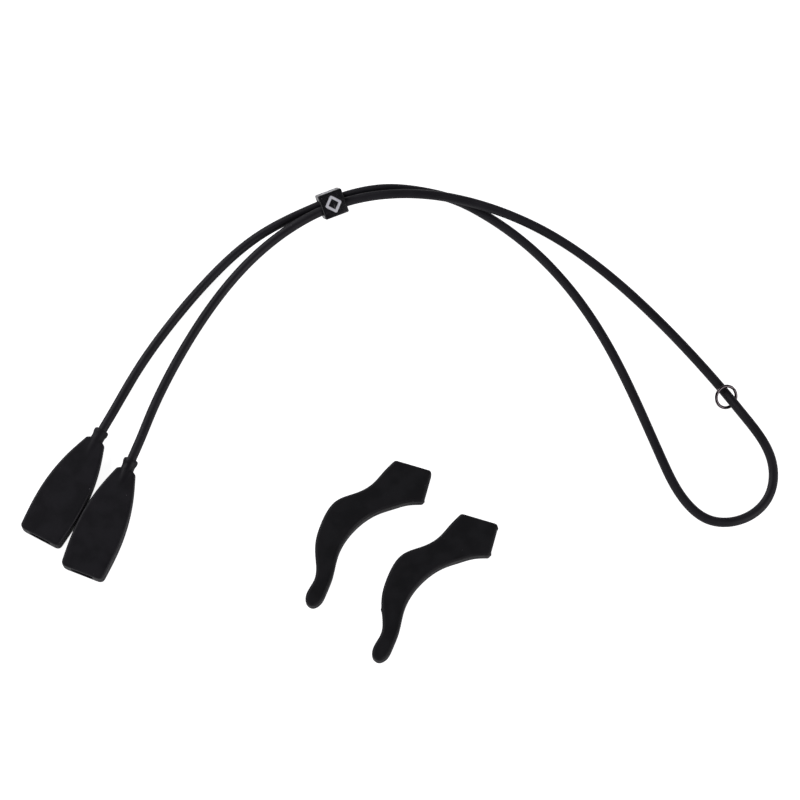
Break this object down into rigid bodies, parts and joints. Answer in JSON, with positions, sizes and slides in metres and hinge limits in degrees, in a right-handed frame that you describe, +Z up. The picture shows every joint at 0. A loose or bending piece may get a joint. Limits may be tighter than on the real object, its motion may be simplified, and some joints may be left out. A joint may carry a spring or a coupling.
{
  "type": "eyeglasses chain strap",
  "caption": "Soft cord retainer strap for glasses: paddle-shaped temple sockets, a sliding adjuster bead, a small jump ring and loose slip-on ear hooks.",
  "frame": {"origin": "on the table, under the middle of the box round the temple sockets and ear hooks", "axes": "+Z up from the table, +X to the right along the laid-out strap, +Y away from the viewer"},
  "size_m": [0.236, 0.1554, 0.0105],
  "materials": {
    "cord_silicone": "satin black silicone cord",
    "socket_silicone": "matte black moulded silicone",
    "hook_silicone": "matte black moulded silicone",
    "bead_acrylic": "polished black acrylic",
    "bead_enamel": "satin silver enamel",
    "ring_nickel": "bright dark nickel plate"
  },
  "bodies": {
    "strap": {"cord": "cord_silicone", "temple_socket_left": "socket_silicone", "temple_socket_right": "socket_silicone"},
    "slider": {"slider_bead": "bead_acrylic", "slider_inlay_top": "bead_enamel", "slider_inlay_near": "bead_enamel", "slider_inlay_bottom": "bead_enamel", "slider_inlay_far": "bead_enamel"},
    "ring": {"jump_ring": "ring_nickel"},
    "hook_left": {"ear_hook_left": "hook_silicone"},
    "hook_right": {"ear_hook_right": "hook_silicone"}
  },
  "joints": [
    {"name": "slider_travel", "type": "hinge", "parent": "strap", "child": "slider", "pos_m": [0.0438, 0.0559, 0.0054], "axis": [0, 0, -1], "range_deg": [-1, 12.5]},
    {"name": "ring_turn", "type": "hinge", "parent": "strap", "child": "ring", "pos_m": [0.14625, 0.0476, 0.00247], "axis": [0.3632, -0.4252, 0.829], "continuous": true},
    {"name": "hook_left_lift", "type": "slide", "parent": "strap", "child": "hook_left", "axis": [0, 0, 1], "range_m": [0, 0.03]},
    {"name": "hook_right_lift", "type": "slide", "parent": "strap", "child": "hook_right", "axis": [0, 0, 1], "range_m": [0, 0.03]}
  ]
}
